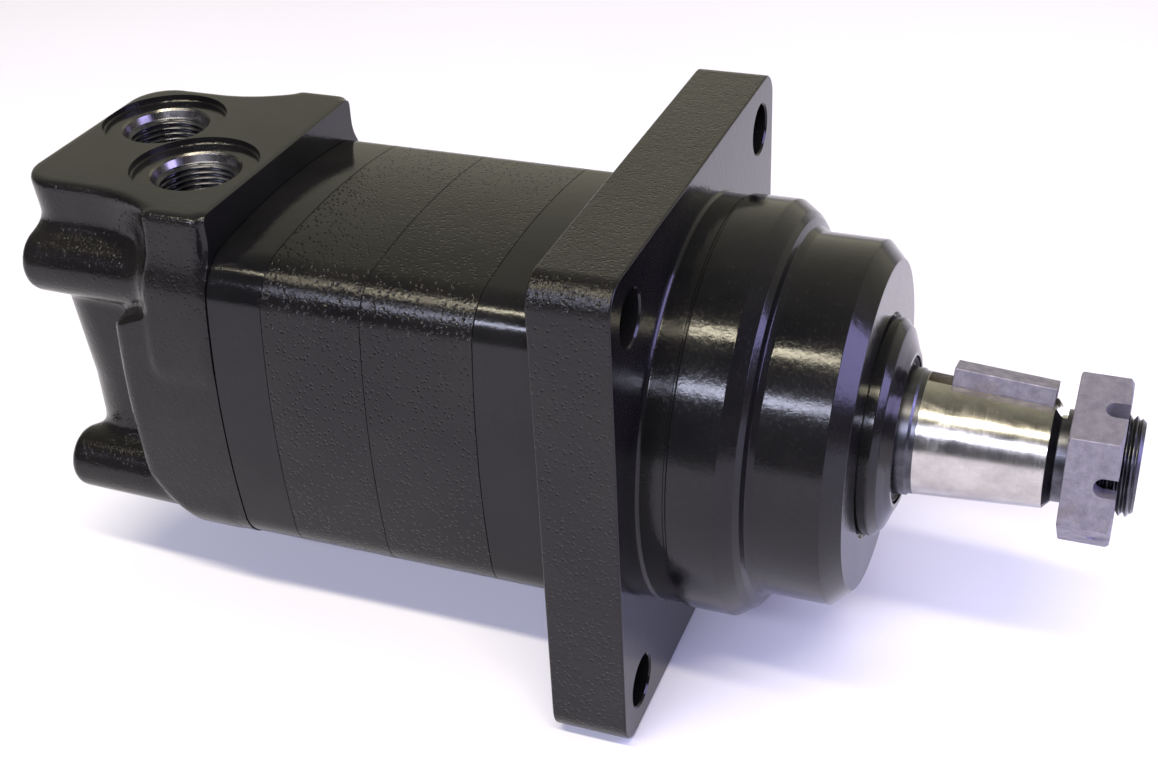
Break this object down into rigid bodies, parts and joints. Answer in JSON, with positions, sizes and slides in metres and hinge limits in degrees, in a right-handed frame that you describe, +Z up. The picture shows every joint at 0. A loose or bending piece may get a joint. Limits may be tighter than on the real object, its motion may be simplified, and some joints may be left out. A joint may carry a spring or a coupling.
{
  "type": "hydraulic motor",
  "caption": "Wheel-mount orbital hydraulic motor: square bolted flange with round pilot, stacked rounded-square body, staggered top ports, keyed taper shaft with slotted nut.",
  "frame": {"origin": "on the shaft axis, in the front (pilot side) face of the mounting flange", "axes": "+X out along the output shaft towards its thread, +Z up out of the ports, -Y the side with the nearer port"},
  "size_m": [0.3765, 0.17, 0.17],
  "materials": {
    "gloss_paint": "gloss black enamel over machined iron, light orange peel",
    "cast_paint": "gloss black enamel over rough iron castings",
    "bright_steel": "ground steel, bright, with fine turning marks and scratches",
    "dark_steel": "heat-treated dark steel, oiled",
    "zinc_steel": "dull zinc-plated steel",
    "bronze": "plain bearing bronze",
    "rubber": "black nitrile rubber"
  },
  "bodies": {
    "housing": {"bearing_housing": "gloss_paint", "wear_plate": "cast_paint", "geroler_ring": "cast_paint", "valve_plate": "gloss_paint", "valve_housing": "cast_paint", "seal_carrier": "gloss_paint", "balance_ring": "bright_steel", "front_bearing_cup": "bright_steel", "rear_bearing_cup": "bright_steel", "backup_washer": "bright_steel", "retaining_ring": "dark_steel", "balance_spring_1": "dark_steel", "balance_spring_2": "dark_steel", "balance_pin_1": "dark_steel", "balance_pin_2": "dark_steel", "tie_bolt_1": "dark_steel", "tie_bolt_2": "dark_steel", "tie_bolt_3": "dark_steel", "tie_bolt_4": "dark_steel", "drain_plug": "zinc_steel", "balance_ring_seal": "rubber", "drain_plug_seal": "rubber", "carrier_o_ring": "rubber", "shaft_seal": "rubber", "dust_wiper": "rubber", "section_seal_1": "rubber", "section_seal_2": "rubber", "section_seal_3": "rubber", "section_seal_4": "rubber"},
    "shaft": {"output_shaft": "bright_steel", "shaft_key": "zinc_steel", "slotted_nut": "zinc_steel", "front_bearing_cone": "bright_steel", "rear_bearing_cone": "bright_steel", "bearing_spacer": "dark_steel", "bearing_nut": "dark_steel"},
    "front_roller_set": {"front_bearing_rollers": "bright_steel"},
    "rear_roller_set": {"rear_bearing_rollers": "bright_steel"},
    "orbit": {"drive_thrust_button": "bronze"},
    "rotor_body": {"rotor": "bright_steel"},
    "drive": {"drive_shaft": "dark_steel"},
    "valve_drive_body": {"valve_drive": "dark_steel"},
    "disc_valve_body": {"disc_valve": "bright_steel"},
    "roll_body_1": {"roll_1": "bright_steel"},
    "roll_body_2": {"roll_2": "bright_steel"},
    "roll_body_3": {"roll_3": "bright_steel"},
    "roll_body_4": {"roll_4": "bright_steel"},
    "roll_body_5": {"roll_5": "bright_steel"},
    "roll_body_6": {"roll_6": "bright_steel"},
    "roll_body_7": {"roll_7": "bright_steel"}
  },
  "joints": [
    {"name": "shaft_spin", "type": "hinge", "parent": "housing", "child": "shaft", "pos_m": [0, 0, 0], "axis": [1, 0, 0], "continuous": true},
    {"name": "front_roller_set_spin", "type": "hinge", "parent": "housing", "child": "front_roller_set", "pos_m": [0, 0, 0], "axis": [1, 0, 0], "continuous": true},
    {"name": "rear_roller_set_spin", "type": "hinge", "parent": "housing", "child": "rear_roller_set", "pos_m": [0, 0, 0], "axis": [1, 0, 0], "continuous": true},
    {"name": "rotor_orbit", "type": "hinge", "parent": "housing", "child": "orbit", "pos_m": [0, 0, 0], "axis": [1, 0, 0], "continuous": true},
    {"name": "rotor_spin", "type": "hinge", "parent": "orbit", "child": "rotor_body", "pos_m": [0, 0.003, 0], "axis": [1, 0, 0], "continuous": true},
    {"name": "drive_spin", "type": "hinge", "parent": "orbit", "child": "drive", "pos_m": [-0.034, 0, 0], "axis": [0.9992, -0.0411, 0], "continuous": true},
    {"name": "valve_drive_spin", "type": "hinge", "parent": "orbit", "child": "valve_drive_body", "pos_m": [-0.162, 0, 0], "axis": [0.9967, 0.0808, 0], "continuous": true},
    {"name": "disc_valve_spin", "type": "hinge", "parent": "housing", "child": "disc_valve_body", "pos_m": [0, 0, 0], "axis": [1, 0, 0], "continuous": true},
    {"name": "roll_1_spin", "type": "hinge", "parent": "housing", "child": "roll_body_1", "pos_m": [0, 0.039, 0], "axis": [1, 0, 0], "continuous": true},
    {"name": "roll_2_spin", "type": "hinge", "parent": "housing", "child": "roll_body_2", "pos_m": [0, 0.02432, 0.03049], "axis": [1, 0, 0], "continuous": true},
    {"name": "roll_3_spin", "type": "hinge", "parent": "housing", "child": "roll_body_3", "pos_m": [0, -0.00868, 0.03802], "axis": [1, 0, 0], "continuous": true},
    {"name": "roll_4_spin", "type": "hinge", "parent": "housing", "child": "roll_body_4", "pos_m": [0, -0.03514, 0.01692], "axis": [1, 0, 0], "continuous": true},
    {"name": "roll_5_spin", "type": "hinge", "parent": "housing", "child": "roll_body_5", "pos_m": [0, -0.03514, -0.01692], "axis": [1, 0, 0], "continuous": true},
    {"name": "roll_6_spin", "type": "hinge", "parent": "housing", "child": "roll_body_6", "pos_m": [0, -0.00868, -0.03802], "axis": [1, 0, 0], "continuous": true},
    {"name": "roll_7_spin", "type": "hinge", "parent": "housing", "child": "roll_body_7", "pos_m": [0, 0.02432, -0.03049], "axis": [1, 0, 0], "continuous": true}
  ],
  "couplings": [
    {"joint": "front_roller_set_spin", "follows": "shaft_spin", "ratio": 0.442},
    {"joint": "rear_roller_set_spin", "follows": "shaft_spin", "ratio": 0.441},
    {"joint": "rotor_orbit", "follows": "shaft_spin", "ratio": -6},
    {"joint": "rotor_spin", "follows": "shaft_spin", "ratio": 7},
    {"joint": "drive_spin", "follows": "shaft_spin", "ratio": 7},
    {"joint": "valve_drive_spin", "follows": "shaft_spin", "ratio": 7},
    {"joint": "disc_valve_spin", "follows": "shaft_spin", "ratio": 1},
    {"joint": "roll_1_spin", "follows": "shaft_spin", "ratio": -3.2},
    {"joint": "roll_2_spin", "follows": "shaft_spin", "ratio": -3.2},
    {"joint": "roll_3_spin", "follows": "shaft_spin", "ratio": -3.2},
    {"joint": "roll_4_spin", "follows": "shaft_spin", "ratio": -3.2},
    {"joint": "roll_5_spin", "follows": "shaft_spin", "ratio": -3.2},
    {"joint": "roll_6_spin", "follows": "shaft_spin", "ratio": -3.2},
    {"joint": "roll_7_spin", "follows": "shaft_spin", "ratio": -3.2}
  ]
}
